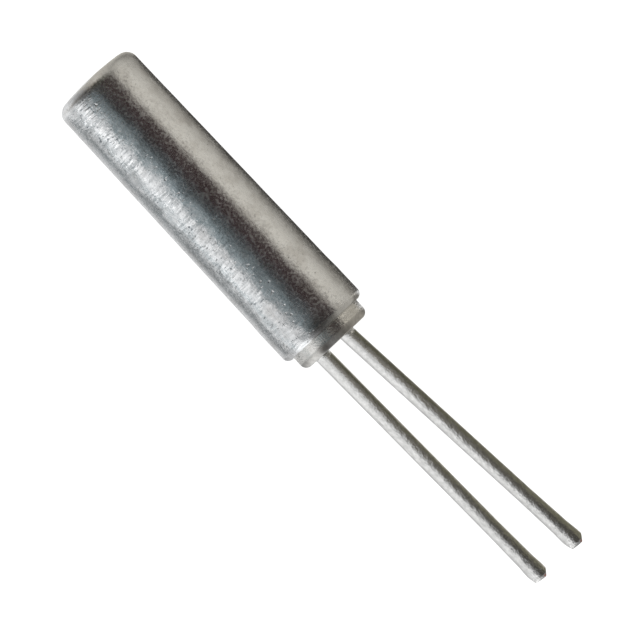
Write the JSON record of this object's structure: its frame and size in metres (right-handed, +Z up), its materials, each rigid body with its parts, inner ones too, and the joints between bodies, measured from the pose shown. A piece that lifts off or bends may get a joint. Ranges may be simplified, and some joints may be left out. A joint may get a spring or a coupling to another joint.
{
  "type": "crystal oscillator",
  "caption": "Slim cylindrical quartz crystal unit: a drawn metal can pressed over a glass-to-metal plug, with a pair of straight cropped wire leads.",
  "frame": {"origin": "centre of the overall box in X and Y, on the plane z = 0 that the can lies on", "axes": "+X along the can's axis from the closed end towards the lead tips, +Z up, the two leads side by side in the plane through the axis"},
  "size_m": [0.0094, 0.0014, 0.0014],
  "materials": {
    "can_metal": "satin nickel over drawn nickel silver",
    "ring_metal": "soft bright plating",
    "seal_glass": "fused sealing glass, dark and nearly opaque",
    "lead_tin": "dipped tin over alloy wire",
    "quartz": "polished quartz with thin metal electrodes",
    "solder": "soft solder"
  },
  "bodies": {
    "root": {"can": "can_metal", "stem_ring": "ring_metal", "glass_seal": "seal_glass", "lead_left": "lead_tin", "lead_right": "lead_tin", "quartz_fork": "quartz", "solder_left": "solder", "solder_right": "solder"}
  },
  "joints": []
}
